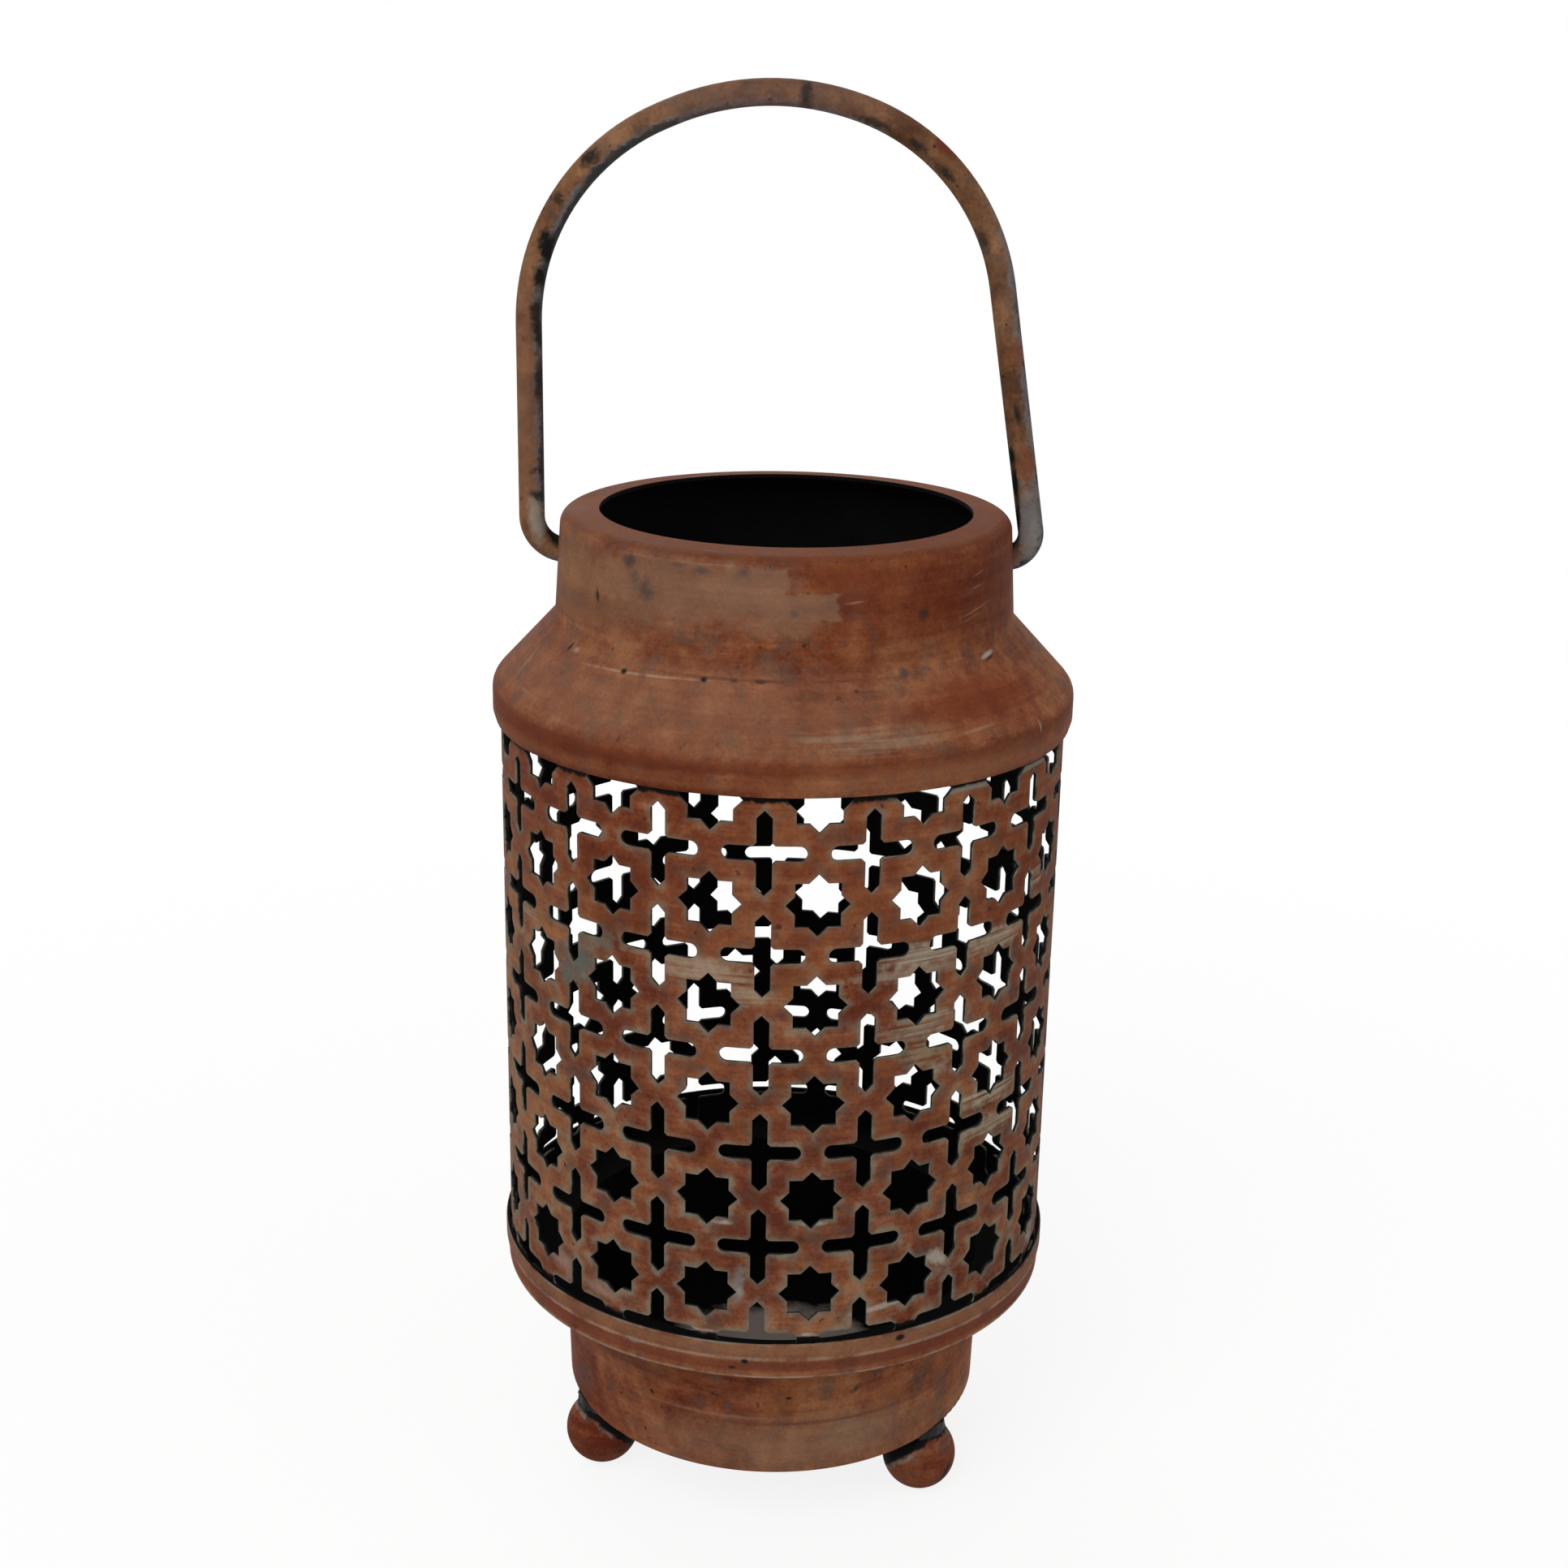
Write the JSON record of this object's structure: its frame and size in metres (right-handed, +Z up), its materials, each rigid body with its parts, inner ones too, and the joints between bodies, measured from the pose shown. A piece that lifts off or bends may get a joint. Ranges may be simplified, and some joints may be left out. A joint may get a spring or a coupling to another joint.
{
  "type": "candle lantern",
  "caption": "Round punched-metal candle lantern with a sloping shoulder, open neck, base cup on ball feet and a swinging bail handle.",
  "frame": {"origin": "on the lantern's axis, on the floor under the ball feet", "axes": "+Z up along the lantern's axis, front -Y, +X to the right seen from the front and along the bail's pivot"},
  "size_m": [0.1454, 0.1454, 0.3596],
  "materials": {
    "shell_paint": "worn terracotta paint, brushed on, satin",
    "foot_paint": "worn terracotta paint, satin",
    "weld_steel": "blackened weld metal",
    "bail_paint": "worn brown paint rubbed to grey, satin"
  },
  "bodies": {
    "lantern": {"neck_collar": "shell_paint", "shoulder": "shell_paint", "punched_body": "shell_paint", "base_rim": "shell_paint", "base_cup": "shell_paint", "ball_foot_1": "foot_paint", "ball_foot_2": "foot_paint", "ball_foot_3": "foot_paint", "foot_weld_1": "weld_steel", "foot_weld_2": "weld_steel", "foot_weld_3": "weld_steel"},
    "bail": {"bail_handle": "bail_paint"}
  },
  "joints": [
    {"name": "bail_swing", "type": "hinge", "parent": "lantern", "child": "bail", "pos_m": [0, 0, 0.24702], "axis": [1, 0, 0], "range_deg": [-116, 116]}
  ]
}
